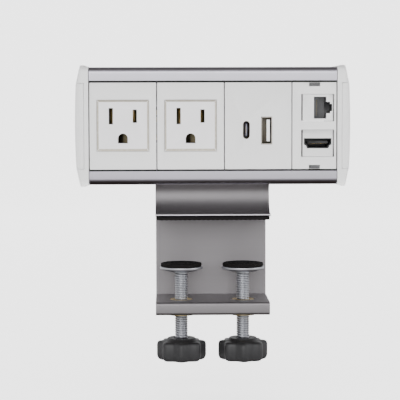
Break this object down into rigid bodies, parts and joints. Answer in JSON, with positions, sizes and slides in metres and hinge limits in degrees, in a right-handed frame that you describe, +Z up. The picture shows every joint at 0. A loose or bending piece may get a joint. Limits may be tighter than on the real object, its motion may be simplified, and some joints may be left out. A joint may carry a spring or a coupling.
{
  "type": "desk power strip",
  "caption": "Clamp-on desk power and data unit: aluminium housing with outlets, USB and data ports on a bracket that screws to a desk edge.",
  "frame": {"origin": "centre of the foot pad's underside, which rests on the desk top", "axes": "+Z up, +X along the unit's length towards the data ports, the front with the sockets faces -Y"},
  "size_m": [0.1476, 0.0546, 0.1626],
  "materials": {
    "anodised_aluminium": "silver anodised, fine brushed satin",
    "white_plastic": "moulded white, fine satin texture",
    "receptacle_plastic": "moulded off-white, smooth satin",
    "grey_plastic": "moulded grey, satin",
    "black_plastic": "moulded black, satin",
    "black_rubber": "matt rubber",
    "brass": "stamped, slightly tarnished",
    "nickel": "nickel-plated stamped steel",
    "zinc_steel": "bright zinc-plated steel",
    "circuit_board": "green solder mask"
  },
  "bodies": {
    "unit": {"bracket": "anodised_aluminium", "bracket_screw_left": "zinc_steel", "bracket_screw_right": "zinc_steel", "clamp_1_bush": "brass", "clamp_2_bush": "brass", "data_faceplate": "white_plastic", "data_latch_bottom": "grey_plastic", "data_latch_top": "grey_plastic", "foot_pad": "black_rubber", "ground_bus_bar": "brass", "hdmi_coupler_body": "receptacle_plastic", "hdmi_shell": "black_plastic", "hdmi_tongue": "black_plastic", "housing_extrusion": "anodised_aluminium", "inlet_ground_pin": "nickel", "inlet_housing": "black_plastic", "inlet_line_pin": "nickel", "inlet_neutral_pin": "nickel", "left_cap_screw_lower": "zinc_steel", "left_cap_screw_upper": "zinc_steel", "left_end_cap_base": "white_plastic", "left_end_cap_cover": "white_plastic", "line_bus_bar": "brass", "neutral_bus_bar": "brass", "outlet_1_contact_carrier": "black_plastic", "outlet_1_faceplate": "white_plastic", "outlet_1_ground_contact": "brass", "outlet_1_line_contact": "brass", "outlet_1_neutral_contact": "brass", "outlet_1_receptacle": "receptacle_plastic", "outlet_2_contact_carrier": "black_plastic", "outlet_2_faceplate": "white_plastic", "outlet_2_ground_contact": "brass", "outlet_2_line_contact": "brass", "outlet_2_neutral_contact": "brass", "outlet_2_receptacle": "receptacle_plastic", "right_cap_screw_lower": "zinc_steel", "right_cap_screw_upper": "zinc_steel", "right_end_cap_base": "white_plastic", "right_end_cap_cover": "white_plastic", "rj45_contact_comb": "brass", "rj45_coupler_body": "white_plastic", "usb_a_shell": "nickel", "usb_a_tongue": "white_plastic", "usb_c_shell": "nickel", "usb_c_tongue": "black_plastic", "usb_charger_case": "black_plastic", "usb_circuit_board": "circuit_board", "usb_faceplate": "white_plastic"},
    "clamp_1_pad": {"clamp_1_pressure_disc": "zinc_steel", "clamp_1_pad_face": "black_rubber"},
    "clamp_1_thumbscrew": {"clamp_1_screw": "zinc_steel", "clamp_1_knob": "black_plastic"},
    "clamp_2_pad": {"clamp_2_pressure_disc": "zinc_steel", "clamp_2_pad_face": "black_rubber"},
    "clamp_2_thumbscrew": {"clamp_2_screw": "zinc_steel", "clamp_2_knob": "black_plastic"}
  },
  "joints": [
    {"name": "clamp_1_travel", "type": "slide", "parent": "unit", "child": "clamp_1_pad", "axis": [0, 0, 1], "range_m": [-0.0145, 0.012]},
    {"name": "clamp_1_turn", "type": "hinge", "parent": "clamp_1_pad", "child": "clamp_1_thumbscrew", "pos_m": [-0.017, 0, -0.05], "axis": [0, 0, 1], "range_deg": [-4180, 3460]},
    {"name": "clamp_2_travel", "type": "slide", "parent": "unit", "child": "clamp_2_pad", "axis": [0, 0, 1], "range_m": [-0.0145, 0.012]},
    {"name": "clamp_2_turn", "type": "hinge", "parent": "clamp_2_pad", "child": "clamp_2_thumbscrew", "pos_m": [0.017, 0, -0.05], "axis": [0, 0, 1], "range_deg": [-4180, 3460]}
  ],
  "couplings": [
    {"joint": "clamp_1_turn", "follows": "clamp_1_travel", "rad_per_m": 5026.5},
    {"joint": "clamp_2_turn", "follows": "clamp_2_travel", "rad_per_m": 5026.5}
  ]
}
